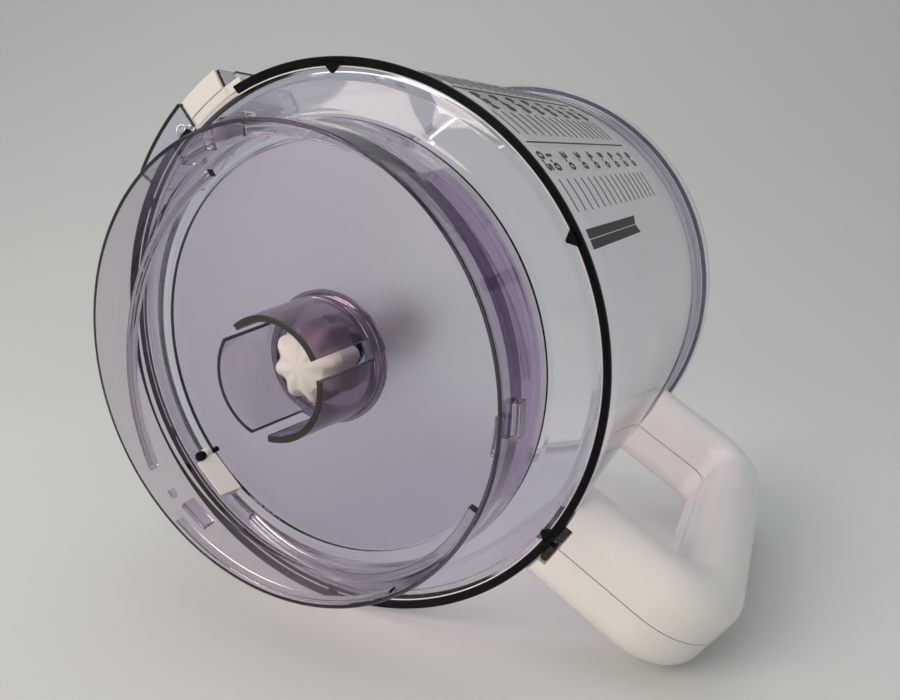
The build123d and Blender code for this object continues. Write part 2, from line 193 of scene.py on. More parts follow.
# Bowl
# One moulding of clear grey-violet SAN plastic: floor, wall, thick rim, bearing boss and the seat of the
# soft ring. The underside of the floor inside the skirt is spark-eroded in the mould, so it is frosted.
# From here on most lengths are in millimetres, and mm turns them into metres.
mm = 0.001
weld = 1e-6
hair = 0.01
round_steps = 192
bowl_steps = 288
half_steps = 96
arc_steps = 48
short_steps = 12
nub_steps = 8
few_steps = 6
fine_edge = 0.25
plain_edge = 0.3
soft_edge = 0.35
smooth_below = math.radians(40)
wall_base_radius = 78.5
wall_base_z = 34.0
wall_top_radius = 84.4
wall_top_z = 170.0
floor_z = 26.0
bowl_edge = 0.4
bowl_crease = 6
frost_inner = 19.3
frost_outer = 58.7
floor_tolerance = 0.05
frost_roughness = 0.45
frost_tint = "#dcd5e7"
bowl_profile = (
    (6.0, 26.0), (19.3, 26.0), (58.8, 26.0), (59.2, 25.3), (60.4, 25.3), (60.8, 26.0), (66.0, 26.0),
    (70.0, 26.9), (74.0, 28.2), (76.0, 29.0), (76.7, 29.6), (78.1, 29.6), (78.5, 34.0), (84.0, 161.5),
    (85.2, 162.0), (85.4, 169.6), (88.0, 170.0), (88.0, 176.0), (81.8, 176.0), (76.2, 42.0),
    (75.95, 37.0), (75.6, 33.6), (74.9, 32.3), (73.2, 31.1), (69.2, 29.7), (65.3, 28.6), (11.0, 28.6),
    (11.0, 64.6), (8.0, 64.6), (8.0, 61.6), (6.0, 61.6),
)


def wall_radius(height):
    """The wall's outer radius at a height, in millimetres."""
    share = (height - wall_base_z) / (wall_top_z - wall_base_z)
    return wall_base_radius + share * (wall_top_radius - wall_base_radius)


def turn(name, profile, steps=round_steps, start=0.0, arc=360.0):
    """Draws a closed outline of radius and height in millimetres and spins it about the bowl's axis."""
    angle = math.radians(start)
    places = [Vector((r * math.cos(angle), r * math.sin(angle), z)) * mm for r, z in profile]
    bpy.ops.object.select_all(action="DESELECT")
    bpy.ops.mesh.primitive_plane_add(size=mm)
    piece = bpy.context.object
    piece.name = name
    bpy.ops.object.mode_set(mode="EDIT")
    bpy.ops.mesh.select_all(action="SELECT")
    bpy.ops.mesh.merge(type="CENTER")
    bpy.ops.transform.translate(value=places[0])
    for here, there in zip(places, places[1:] + places[:1]):
        bpy.ops.mesh.extrude_region_move(TRANSFORM_OT_translate={"value": there - here})
    bpy.ops.mesh.select_all(action="SELECT")
    bpy.ops.mesh.remove_doubles(threshold=weld)
    bpy.ops.mesh.spin(steps=steps, angle=-math.radians(arc), center=(0, 0, 0), axis=(0, 0, 1))
    bpy.ops.mesh.select_all(action="SELECT")
    bpy.ops.mesh.remove_doubles(threshold=weld)
    bpy.ops.mesh.dissolve_degenerate(threshold=weld)
    if arc < 360:
        bpy.ops.mesh.select_all(action="SELECT")
        bpy.ops.mesh.fill_holes(sides=0)
    bpy.ops.mesh.select_all(action="SELECT")
    bpy.ops.mesh.normals_make_consistent(inside=False)
    bpy.ops.object.mode_set(mode="OBJECT")
    return piece


def select_only(piece):
    """Selects one piece and makes it the active one."""
    bpy.ops.object.select_all(action="DESELECT")
    piece.select_set(True)
    bpy.context.view_layer.objects.active = piece


def soften(piece, width, segments=3, sharp=22):
    """Rounds the edges that are sharper than an angle, as a mould does, and shades the rest smooth."""
    select_only(piece)
    bevel = piece.modifiers.new("rounded_edges", "BEVEL")
    bevel.width = width * mm
    bevel.segments = segments
    bevel.limit_method = "ANGLE"
    bevel.angle_limit = math.radians(sharp)
    bpy.ops.object.modifier_apply(modifier=bevel.name)
    bpy.ops.object.shade_smooth_by_angle(angle=smooth_below)
    even = piece.modifiers.new("even_shading", "WEIGHTED_NORMAL")
    even.keep_sharp = True
    bpy.ops.object.modifier_apply(modifier=even.name)
    return piece


def fit(piece, body, slot, materials, *nodes):
    """Gives a piece its finish, its body and the solids that it stands for."""
    for material in materials:
        piece.data.materials.append(material)
    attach(piece, body)
    if nodes:
        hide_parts(*nodes)


def clear_plastic(name, tint, shade_tint, body_tint, density, rough_low, rough_high):
    """Moulded clear plastic: gloss, a tint that deepens with thickness, and frost where it is marked."""
    material = new_material(name)
    place = add_node(material, "ShaderNodeTexCoord").outputs["Object"]
    smears = add_node(material, "ShaderNodeTexNoise", Vector=place, Scale=1 / (35 * mm), Detail=4.0)
    polish = add_node(material, "ShaderNodeMapRange", Value=smears.outputs["Fac"], From_Min=0.35,
                      From_Max=0.7, To_Min=rough_low, To_Max=rough_high)
    frost = add_node(material, "ShaderNodeAttribute", {"attribute_name": "frost"}).outputs["Fac"]
    rough = add_node(material, "ShaderNodeMapRange", Value=frost, To_Min=polish.outputs["Result"],
                     To_Max=frost_roughness)
    grain = add_node(material, "ShaderNodeTexNoise", Vector=place, Scale=1 / (0.5 * mm), Detail=2.0)
    relief = add_node(material, "ShaderNodeBump", Height=grain.outputs["Fac"], Distance=0.05 * mm,
                      Strength=frost)
    skin = add_node(material, "ShaderNodeMix", {"data_type": "RGBA"}, _0=frost, _6=linear(tint),
                    _7=linear(frost_tint))
    gloss = add_node(material, "ShaderNodeBsdfPrincipled", Base_Color=skin.outputs[2], IOR=1.57,
                     Transmission_Weight=1.0, Roughness=rough.outputs["Result"],
                     Normal=relief.outputs["Normal"])
    passing = add_node(material, "ShaderNodeBsdfTransparent", Color=linear(shade_tint))
    ray = add_node(material, "ShaderNodeLightPath")
    mix = add_node(material, "ShaderNodeMixShader", _0=ray.outputs["Is Shadow Ray"], _1=gloss.outputs[0],
                   _2=passing.outputs[0])
    depth = add_node(material, "ShaderNodeVolumeAbsorption", Color=linear(body_tint), Density=density)
    add_node(material, "ShaderNodeOutputMaterial", Surface=mix.outputs[0], Volume=depth.outputs[0])
    return material


# Clear SAN: glossy, grey-violet, and dark where the light runs along the wall. The frost attribute marks
# the spark-eroded face, whose grain is drawn about half a millimetre wide so that it shows.
clear_san = clear_plastic("clear_violet_san", "#f9f8ff", "#f6f6f8", "#8c80a6", 26.0, 0.02, 0.06)

bowl = soften(turn("bowl_shell", bowl_profile, bowl_steps), bowl_edge, sharp=bowl_crease)
frost_marks = bowl.data.attributes.new("frost", "FLOAT", "FACE")
for face in bowl.data.polygons:
    middle = face.center / mm
    reach = math.hypot(middle.x, middle.y)
    on_floor = abs(middle.z - floor_z) < floor_tolerance
    frost_marks.data[face.index].value = on_floor and frost_inner < reach < frost_outer
fit(bowl, "bowl_body", "smoky_clear", (clear_san,), "bowl")

# Rim beads
# Two fine beads run round under the rim, where the wall steps out to carry the lid.
# They are tinted far denser than the bowl's plastic: painted shade for the dark lines that the rim's
# thickness shows when seen along it.
bead_plan = (
    ("step_bead", 84.15, 85.0, 160.2, 161.3, 400.0),
    ("lid_bead", 85.6, 87.2, 168.2, 169.5, 1500.0),
)


def ring_block(inner, outer, bottom, top):
    """A four-cornered section of a curved block."""
    return ((inner, bottom), (outer, bottom), (outer, top), (inner, top))


for bead_name, bead_inner, bead_outer, bead_bottom, bead_top, bead_density in bead_plan:
    bead_section = ring_block(bead_inner, bead_outer, bead_bottom, bead_top)
    # The bead's dense tint is painted shade, not the plastic's own colour.
    bead_painted_shade = clear_plastic(bead_name + "_san", "#fdfcfd", "#f9f8fa", "#7d6a96", bead_density, 0.05, 0.1)
    fit(soften(turn(bead_name, bead_section), fine_edge), "bowl_body", "smoky_clear", (bead_painted_shade,))

# Locking skirt
# A thin ring of the same clear plastic, fixed under the floor. Its root flares out to the shoulder and
# bayonet ramps climb its inside. Light that runs along the wall leaves deep violet bands.
skirt_profile = (
    (61.1, 0.0), (62.1, 0.0), (62.0, 14.0), (62.6, 19.0), (63.4, 23.0), (64.3, 25.97),
    (62.9, 25.97), (62.1, 23.0), (61.4, 19.0), (60.8, 14.0),
)
skirt_crease = 8
band_start = -86.0
band_arc = 80.0
band_lift = 0.08
band_depth = 0.12
band_edge = 0.04
band_plan = (
    ("pale_band", ((62.1, 0.4), (62.06, 5.1)), 700.0),
    ("violet_band", ((62.06, 5.2), (62.0, 11.5)), 14000.0),
    ("lilac_band", ((62.0, 11.7), (62.0, 14.0), (62.6, 19.0), (63.3, 22.5)), 3000.0),
)
ramp_count = 3
ramp_start = 112.0
ramp_arc = 93.0
ramp_rise = 15.6
ramp_section = ring_block(58.4, 60.75, 3.2, 5.6)
lug_section = ring_block(58.6, 60.75, 5.0, 9.0)
lug_start = 89.5
lug_arc = 9.5
outer_lug_section = ring_block(62.45, 64.4, 5.0, 9.5)
outer_lug_angles = (-30.0, -132.0)
outer_lug_arc = 8.0
lip_section = ((60.1, 0.7), (61.05, 0.7), (61.0, 3.4), (60.3, 3.4))
lip_start = 24.0
lip_arc = 72.0
nub_rim_section = ring_block(60.0, 60.9, 4.4, 6.6)
nub_rim_start = 102.0
nub_rim_arc = 2.6


def climb(piece, start, arc, rise):
    """Lifts a turned bar steadily along its arc, so that it becomes a ramp."""
    for vertex in piece.data.vertices:
        angle = (math.degrees(math.atan2(vertex.co.y, vertex.co.x)) - start + 1) % 360 - 1
        vertex.co.z += rise * mm * angle / arc


def join(pieces):
    """Joins pieces into the first one."""
    bpy.ops.object.select_all(action="DESELECT")
    for piece in pieces:
        piece.select_set(True)
    bpy.context.view_layer.objects.active = pieces[0]
    bpy.ops.object.join()
    return pieces[0]


skirt = soften(turn("locking_skirt_ring", skirt_profile), plain_edge, sharp=skirt_crease)
skirt_parts = [skirt]
for index in range(ramp_count):
    turned_by = index * 360 / ramp_count
    ramp = turn("locking_ramp", ramp_section, arc_steps, ramp_start + turned_by, ramp_arc)
    climb(ramp, ramp_start + turned_by, ramp_arc, ramp_rise)
    lug = turn("inner_lug", lug_section, short_steps, lug_start + turned_by, lug_arc)
    skirt_parts += [soften(ramp, soft_edge), soften(lug, soft_edge)]
for angle in outer_lug_angles:
    outer_lug = turn("outer_lug", outer_lug_section, nub_steps, angle - outer_lug_arc / 2, outer_lug_arc)
    skirt_parts.append(soften(outer_lug, soft_edge))
rim_lip = turn("rim_lip", lip_section, arc_steps, lip_start, lip_arc)
rim_nub = turn("rim_nub", nub_rim_section, few_steps, nub_rim_start, nub_rim_arc)
skirt_parts += [soften(rim_lip, fine_edge), soften(rim_nub, plain_edge)]
join(skirt_parts)
# The skirt's plastic is like the bowl's, with a deeper tint. On the side of the handle the light is caught
# between the two faces of the wall; sleeves as thin as a hair, tinted pale, violet and lilac, are painted
# shade for these bands.
skirt_san = clear_plastic("deep_violet_san", "#eae5ec", "#fcfbfd", "#9a82a6", 70.0, 0.02, 0.05)
fit(skirt, "bowl_body", "smoky_clear", (skirt_san,), "locking_skirt")
for band_name, band_line, band_density in band_plan:
    near_face = [(r + band_lift, z) for r, z in band_line]
    far_face = [(r + band_lift + band_depth, z) for r, z in reversed(band_line)]
    skirt_band = turn(band_name, near_face + far_face, half_steps, band_start, band_arc)
    # Each sleeve's tint is painted shade for a band of trapped light, not a colour of the plastic.
    band_painted_shade = clear_plastic(band_name + "_san", "#fdfcfd", "#fcfbfd", "#a436be", band_density, 0.03, 0.06)
    fit(soften(skirt_band, band_edge, segments=1), "bowl_body", "smoky_clear", (band_painted_shade,))

# Centre collar
# A short tube of clear plastic round the drive coupling, split into three prongs by three slots, with a
# narrow flange at its root.
collar_slots = 3
collar_slot_angle = 71.5
collar_slot_arc = 18.2
prong_arc = 360 / collar_slots - collar_slot_arc
thin_prong_section = ((15.4, 0.0), (16.5, 0.0), (17.95, 21.9), (16.85, 21.9))
thick_prong_section = ((14.7, 0.0), (16.5, 0.0), (17.95, 21.9), (16.15, 21.9))
root_section = ((15.1, 21.93), (17.95, 21.93), (18.2, 24.8), (19.2, 24.8), (19.2, 25.97), (15.1, 25.97))
prong_frost = 0.6
end_facing = -0.7
collar_parts = []
for index in range(collar_slots):
    prong_start = collar_slot_angle + index * 360 / collar_slots + collar_slot_arc / 2
    prong_section = thick_prong_section if index else thin_prong_section
    prong = turn("collar_prong", prong_section, arc_steps, prong_start, prong_arc)
    collar_parts.append(soften(prong, fine_edge))
inner_prong = collar_parts.pop(0)
collar_root = soften(turn("split_collar", root_section, half_steps), fine_edge)
collar = join(collar_parts)
prong_marks = collar.data.attributes.new("frost", "FLOAT", "FACE")
for face in collar.data.polygons:
    prong_marks.data[face.index].value = prong_frost if face.normal.z < end_facing else 0.0
# The collar's plastic is tinted denser than the bowl's, so that its thick walls, seen end on, look much
# deeper.
# The two prongs with their backs to the handle and the print, and the root, get a darker copy with a grey
# skin:
# painted shade where they are crossed at a slant and round the root. Their flat ends are a little frosted.
collar_san = clear_plastic("dense_violet_san", "#f3eff4", "#f6f3f7", "#7f5a8c", 100.0, 0.03, 0.08)
# A darker copy of the collar's plastic: painted shade.
prong_painted_shade = clear_plastic("deepest_violet_painted_shade", "#a696aa", "#f6f3f7", "#7f5a8c", 140.0, 0.03, 0.08)
fit(collar_root, "bowl_body", "smoky_clear", (prong_painted_shade,), "centre_collar")
fit(inner_prong, "bowl_body", "smoky_clear", (collar_san,))
fit(collar, "bowl_body", "smoky_clear", (prong_painted_shade,))

# Anti-slip ring
# A flat band of black thermoplastic rubber, pressed under the corner between floor and wall so that the
# bowl doesn't slip. Small pointed nubs stand on its inner edge, and it is open at the interlock.
ring_profile = ((76.8, 28.6), (78.6, 27.5), (78.9, 27.8), (78.9, 29.0), (78.2, 29.55), (76.8, 29.55))
ring_break_start = -144.3
ring_break_arc = 15.6
nub_count = 6
nub_tip = 74.9
nub_root = 77.4
nub_half_arc = 1.9
nub_bottom = 27.9
nub_top = 29.1
nub_tip_share = 0.12

# Soft rubber: nearly black and dull, with a fine grain and a little dust.
rubber = new_material("black_soft_rubber")
rubber_place = add_node(rubber, "ShaderNodeTexCoord").outputs["Object"]
rubber_grain = add_node(rubber, "ShaderNodeTexNoise", Vector=rubber_place, Scale=1 / (0.6 * mm), Detail=3.0)
rubber_dust = add_node(rubber, "ShaderNodeTexNoise", Vector=rubber_place, Scale=1 / (14 * mm), Detail=5.0)
rubber_tone = add_node(rubber, "ShaderNodeMix", {"data_type": "RGBA"}, _0=rubber_dust.outputs["Fac"],
                       _6=linear("#050506"), _7=linear("#0b0b0d"))
rubber_rough = add_node(rubber, "ShaderNodeMapRange", Value=rubber_dust.outputs["Fac"], From_Min=0.3,
                        From_Max=0.7, To_Min=0.32, To_Max=0.48)
rubber_relief = add_node(rubber, "ShaderNodeBump", Height=rubber_grain.outputs["Fac"], Distance=0.03 * mm,
                         Strength=0.6)
rubber_skin = add_node(rubber, "ShaderNodeBsdfPrincipled", Base_Color=rubber_tone.outputs[2], IOR=1.5,
                       Specular_IOR_Level=0.14, Roughness=rubber_rough.outputs["Result"],
                       Normal=rubber_relief.outputs["Normal"])
add_node(rubber, "ShaderNodeOutputMaterial", Surface=rubber_skin.outputs[0])

ring_band = turn("anti_slip_band", ring_profile, round_steps, ring_break_start, 360 - ring_break_arc)
ring_parts = [soften(ring_band, plain_edge)]
nub_section = ring_block(nub_tip, nub_root, nub_bottom, nub_top)
for index in range(nub_count):
    nub_angle = index * 360 / nub_count
    nub = turn("ring_nub", nub_section, nub_steps, nub_angle - nub_half_arc, 2 * nub_half_arc)
    for vertex in nub.data.vertices:
        reach = math.hypot(vertex.co.x, vertex.co.y)
        side = math.atan2(vertex.co.y, vertex.co.x) - math.radians(nub_angle)
        side = (side + math.pi) % (2 * math.pi) - math.pi
        narrow = (reach / mm - nub_tip) / (nub_root - nub_tip)
        turned_by = math.radians(nub_angle) + side * max(nub_tip_share, narrow)
        vertex.co.x = reach * math.cos(turned_by)
        vertex.co.y = reach * math.sin(turned_by)
    ring_parts.append(soften(nub, fine_edge))
ring = join(ring_parts)
fit(ring, "bowl_body", "black_rubber", (rubber,), "anti_slip_ring")

# Beside the band the shoulder's edge catches the light as a fine bright line, painted in as a thin ring of
# pale plastic with a mottled tone: a painted highlight.
edge_profile = ring_block(76.4, 76.7, 28.8, 29.1)
edge_rounding = 0.08
painted_highlight_edge = new_material("painted_highlight_white")
edge_place = add_node(painted_highlight_edge, "ShaderNodeTexCoord").outputs["Object"]
highlight_mottle = add_node(painted_highlight_edge, "ShaderNodeTexNoise", Vector=edge_place, Scale=1 / (30 * mm), Detail=2.0)
edge_tone = add_node(painted_highlight_edge, "ShaderNodeMix", {"data_type": "RGBA"}, _0=highlight_mottle.outputs["Fac"],
                     _6=linear("#cfcdd2"), _7=linear("#f6f5f6"))
edge_skin = add_node(painted_highlight_edge, "ShaderNodeBsdfPrincipled", Base_Color=edge_tone.outputs[2],
                     Roughness=0.35)
add_node(painted_highlight_edge, "ShaderNodeOutputMaterial", Surface=edge_skin.outputs[0])
highlight_line = turn("shoulder_painted_highlight", edge_profile, round_steps, ring_break_start, 360 - ring_break_arc)
fit(soften(highlight_line, edge_rounding, segments=2), "bowl_body", "smoky_clear", (painted_highlight_edge,))

# Drive coupling
# White acetal with rounded lobes that fall into the motor's socket. Its face is domed and the lobes run
# out over the dome as soft waves.
coupling_radius = 11.5
coupling_top = 24.9
coupling_profile = (
    (0.0, 12.2), (4.0, 12.4), (7.5, 13.3), (10.0, 14.9), (11.3, 16.8), (coupling_radius, 18.6),
    (coupling_radius, coupling_top), (0.0, coupling_top),
)
coupling_steps = 144
coupling_lobes = 8
lobe_depth = 1.9
lobe_wave = 0.9
dome_top = 18.0

# Acetal: milky white and slightly waxy, so a little light goes into it.
acetal = new_material("white_acetal")
acetal_place = add_node(acetal, "ShaderNodeTexCoord").outputs["Object"]
acetal_cloud = add_node(acetal, "ShaderNodeTexNoise", Vector=acetal_place, Scale=1 / (9 * mm), Detail=4.0)
acetal_tone = add_node(acetal, "ShaderNodeMix", {"data_type": "RGBA"}, _0=acetal_cloud.outputs["Fac"],
                       _6=linear("#d6d1ca"), _7=linear("#e2ded7"))
acetal_rough = add_node(acetal, "ShaderNodeMapRange", Value=acetal_cloud.outputs["Fac"], To_Min=0.30,
                        To_Max=0.45)
acetal_skin = add_node(acetal, "ShaderNodeBsdfPrincipled", Base_Color=acetal_tone.outputs[2], IOR=1.48,
                       Roughness=acetal_rough.outputs["Result"], Subsurface_Weight=0.15,
                       Subsurface_Radius=(1.0, 0.9, 0.8), Subsurface_Scale=0.8 * mm)
add_node(acetal, "ShaderNodeOutputMaterial", Surface=acetal_skin.outputs[0])

coupling = turn("lobed_coupling", coupling_profile, coupling_steps)
for vertex in coupling.data.vertices:
    reach = math.hypot(vertex.co.x, vertex.co.y) / mm
    angle = math.atan2(vertex.co.y, vertex.co.x)
    dip = (1 - math.cos(coupling_lobes * angle)) / 2
    share = min(1.0, reach / coupling_radius)
    pull = 1 - dip * lobe_depth / coupling_radius * share
    vertex.co.x *= pull
    vertex.co.y *= pull
    if vertex.co.z < dome_top * mm:
        vertex.co.z += dip * lobe_wave * share ** 2 * mm
soften(coupling, plain_edge)
fit(coupling, "spindle", "white_plastic", (acetal,), "drive_coupling")

# Spindle, bushes, seal, washer and clip
# Turned and stamped metal parts inside the boss, and the lip seal above them, shown as the solids are. The
# bushes are pressed into the boss, and the clip holds the spindle down.

# Turned steel: bright, with fine tool lines.
turned_steel = new_material("turned_steel")
steel_place = add_node(turned_steel, "ShaderNodeTexCoord").outputs["Object"]
steel_lines = add_node(turned_steel, "ShaderNodeTexWave", {"bands_direction": "Z"}, Vector=steel_place,
                       Scale=1 / (1.2 * mm), Distortion=1.5, Detail=3.0)
steel_rough = add_node(turned_steel, "ShaderNodeMapRange", Value=steel_lines.outputs["Fac"], To_Min=0.22,
                       To_Max=0.38)
steel_skin = add_node(turned_steel, "ShaderNodeBsdfPrincipled", Base_Color=linear("#c9c9cc"), Metallic=1.0,
                      Roughness=steel_rough.outputs["Result"])
add_node(turned_steel, "ShaderNodeOutputMaterial", Surface=steel_skin.outputs[0])

# Sintered bronze: brown and full of fine pores.
sintered_bronze = new_material("sintered_bronze")
bronze_place = add_node(sintered_bronze, "ShaderNodeTexCoord").outputs["Object"]
bronze_pores = add_node(sintered_bronze, "ShaderNodeTexNoise", Vector=bronze_place, Scale=1 / (0.4 * mm))
bronze_tone = add_node(sintered_bronze, "ShaderNodeMix", {"data_type": "RGBA"},
                       _0=bronze_pores.outputs["Fac"], _6=linear("#7d5f38"), _7=linear("#b58d58"))
bronze_skin = add_node(sintered_bronze, "ShaderNodeBsdfPrincipled", Base_Color=bronze_tone.outputs[2],
                       Metallic=1.0, Roughness=0.45)
add_node(sintered_bronze, "ShaderNodeOutputMaterial", Surface=bronze_skin.outputs[0])

inner_finish = {
    "drive_spindle": turned_steel, "thrust_washer": turned_steel, "retaining_clip": turned_steel,
    "lower_bush": sintered_bronze, "upper_bush": sintered_bronze, "shaft_seal": rubber,
}
for node_name, finish in inner_finish.items():
    node_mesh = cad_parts[node_name].data
    node_mesh.materials.clear()
    node_mesh.materials.append(finish)

# Handle
# Two halves of warm white ABS, moulded mirror-wise, meeting in a fine line on the middle plane. They close
# round two tongues of the bowl and are screwed together from the far side. Here they are drawn solid.
handle_width = 30.0
handle_depth = 17.6
handle_corner = 8.2
handle_low_z = 35.4
handle_high_z = 139.0
grip_low_x = 119.1
grip_high_x = 122.5
handle_bend = 14.0
handle_gap = 0.8
handle_root_x = 78.0
bend_steps = 28
corner_steps = 14
seam_groove = 0.28
clip_low = (76.0, -6.4, 27.2)
clip_high = (80.9, 6.4, 37.0)
clip_notch_gap = 0.2
seam_gap = 0.15
screw_seat = 12.2
screw_head_radius = 3.4
seam_crease = 50
grip_lean = (grip_high_x - grip_low_x) / (handle_high_z - handle_low_z)
screw_past_bend = 4.6
screw_inset = handle_bend + screw_past_bend
tongue_screw_reach = 12.4
screw_places = (
    (wall_radius(handle_low_z) + tongue_screw_reach, handle_low_z),
    (wall_radius(handle_high_z) + tongue_screw_reach, handle_high_z),
    (grip_low_x + screw_inset * grip_lean, handle_low_z + screw_inset),
    (grip_high_x - screw_inset * grip_lean, handle_high_z - screw_inset),
)

# ABS: warm white and half glossy, with a faint moulded grain.
white_abs = new_material("warm_white_abs")
abs_place = add_node(white_abs, "ShaderNodeTexCoord").outputs["Object"]
abs_cloud = add_node(white_abs, "ShaderNodeTexNoise", Vector=abs_place, Scale=1 / (40 * mm), Detail=4.0)
abs_grain = add_node(white_abs, "ShaderNodeTexNoise", Vector=abs_place, Scale=1 / (0.8 * mm), Detail=2.0)
abs_tone = add_node(white_abs, "ShaderNodeMix", {"data_type": "RGBA"}, _0=abs_cloud.outputs["Fac"],
                    _6=linear("#dbd8d3"), _7=linear("#e3e0db"))
abs_rough = add_node(white_abs, "ShaderNodeMapRange", Value=abs_cloud.outputs["Fac"], From_Min=0.35,
                     From_Max=0.65, To_Min=0.17, To_Max=0.25)
abs_relief = add_node(white_abs, "ShaderNodeBump", Height=abs_grain.outputs["Fac"], Distance=0.02 * mm,
                      Strength=0.4)
abs_skin = add_node(white_abs, "ShaderNodeBsdfPrincipled", Base_Color=abs_tone.outputs[2], IOR=1.53,
                    Roughness=abs_rough.outputs["Result"], Normal=abs_relief.outputs["Normal"])
add_node(white_abs, "ShaderNodeOutputMaterial", Surface=abs_skin.outputs[0])


def block(name, low, high):
    """A box between two corners in millimetres, with its place in its mesh."""
    bpy.ops.object.select_all(action="DESELECT")
    bpy.ops.mesh.primitive_cube_add(size=1)
    piece = bpy.context.object
    piece.name = name
    bpy.ops.object.mode_set(mode="EDIT")
    bpy.ops.transform.resize(value=(Vector(high) - Vector(low)) * mm)
    bpy.ops.transform.translate(value=(Vector(high) + Vector(low)) / 2 * mm)
    bpy.ops.object.mode_set(mode="OBJECT")
    return piece


def rod(name, radius, bottom, top, sides=48):
    """A round bar on the Z axis between two heights in millimetres."""
    bpy.ops.object.select_all(action="DESELECT")
    bpy.ops.mesh.primitive_cylinder_add(vertices=sides, radius=radius * mm, depth=(top - bottom) * mm)
    piece = bpy.context.object
    piece.name = name
    bpy.ops.object.mode_set(mode="EDIT")
    bpy.ops.transform.translate(value=(0, 0, (top + bottom) / 2 * mm))
    bpy.ops.object.mode_set(mode="OBJECT")
    return piece


def place_across(piece, x, z):
    """Lays a piece that stands on the Z axis along +Y, at a place on the handle's middle plane."""
    for vertex in piece.data.vertices:
        vertex.co = (x * mm + vertex.co.x, vertex.co.z, z * mm - vertex.co.y)


def cut_away(piece, tool):
    """Takes the shape of a tool out of a piece."""
    cut = piece.modifiers.new("cut", "BOOLEAN")
    cut.operation = "DIFFERENCE"
    cut.object = tool
    select_only(piece)
    bpy.ops.object.modifier_apply(modifier=cut.name)
    bpy.data.objects.remove(tool)


def handle_half(name, side):
    """Sweeps the rounded section along the two arms and the grip, and keeps one side of it."""
    bpy.ops.object.select_all(action="DESELECT")
    bpy.ops.mesh.primitive_plane_add(size=1)
    piece = bpy.context.object
    piece.name = name
    bpy.ops.object.mode_set(mode="EDIT")
    bpy.ops.mesh.select_all(action="SELECT")
    bpy.ops.transform.resize(value=(handle_depth * mm, handle_width * mm, 1))
    bpy.ops.mesh.bevel(offset=handle_corner * mm, segments=corner_steps, affect="VERTICES")
    bpy.ops.mesh.select_all(action="SELECT")
    bpy.ops.mesh.delete(type="ONLY_FACE")
    bpy.ops.object.mode_set(mode="OBJECT")
    for vertex in piece.data.vertices:
        vertex.co = Vector((handle_root_x * mm, vertex.co.y, handle_low_z * mm - vertex.co.x))
    lean = math.atan2(grip_high_x - grip_low_x, handle_high_z - handle_low_z)
    low_turn = math.pi / 2 - lean
    high_turn = math.pi / 2 + lean
    low_cut = handle_bend * math.tan(low_turn / 2)
    high_cut = handle_bend * math.tan(high_turn / 2)
    along = Vector((math.sin(lean), 0, math.cos(lean)))
    low_corner = Vector((grip_low_x, 0, handle_low_z))
    high_corner = Vector((grip_high_x, 0, handle_high_z))
    low_centre = low_corner + Vector((-low_cut, 0, handle_bend))
    high_centre = high_corner + Vector((-high_cut, 0, -handle_bend))
    grip_run = (high_corner - low_corner).length - low_cut - high_cut
    bpy.ops.object.mode_set(mode="EDIT")
    bpy.ops.mesh.select_all(action="SELECT")
    bpy.ops.mesh.extrude_region_move(TRANSFORM_OT_translate={
        "value": ((grip_low_x - low_cut - handle_root_x) * mm, 0, 0)})
    bpy.ops.mesh.spin(steps=bend_steps, angle=low_turn, center=low_centre * mm, axis=(0, 1, 0))
    bpy.ops.mesh.extrude_region_move(TRANSFORM_OT_translate={"value": along * grip_run * mm})
    bpy.ops.mesh.spin(steps=bend_steps, angle=high_turn, center=high_centre * mm, axis=(0, 1, 0))
    bpy.ops.mesh.extrude_region_move(TRANSFORM_OT_translate={
        "value": (-(grip_high_x - high_cut - handle_root_x) * mm, 0, 0)})
    bpy.ops.mesh.select_all(action="SELECT")
    bpy.ops.mesh.remove_doubles(threshold=weld)
    bpy.ops.object.mode_set(mode="OBJECT")
    for vertex in piece.data.vertices:
        if vertex.co.x < (handle_root_x + hair) * mm:
            reach = wall_radius(max(vertex.co.z / mm, wall_base_z)) + handle_gap
            vertex.co.x = math.sqrt((reach * mm) ** 2 - vertex.co.y ** 2)
    bpy.ops.object.mode_set(mode="EDIT")
    bpy.ops.mesh.select_all(action="SELECT")
    bpy.ops.mesh.fill_holes(sides=0)
    bpy.ops.mesh.select_all(action="SELECT")
    bpy.ops.mesh.normals_make_consistent(inside=False)
    bpy.ops.mesh.bisect(plane_co=(0, side * seam_gap * mm, 0), plane_no=(0, side, 0), use_fill=True,
                        clear_inner=True)
    bpy.ops.object.mode_set(mode="OBJECT")
    gap = Vector((clip_notch_gap, clip_notch_gap, clip_notch_gap))
    cut_away(piece, block("clip_notch", Vector(clip_low) - gap - Vector((0, 0, handle_depth)),
                          Vector(clip_high) + gap))
    if side > 0:
        for x, z in screw_places:
            well = rod("screw_well", screw_head_radius + clip_notch_gap, screw_seat, handle_width)
            place_across(well, x, z)
            cut_away(piece, well)
    return soften(piece, seam_groove, segments=2, sharp=seam_crease)


fit(handle_half("handle_shell_left", 1), "bowl_body", "white_plastic", (white_abs,), "handle_left_half")
fit(handle_half("handle_shell_right", -1), "bowl_body", "white_plastic", (white_abs,), "handle_right_half")

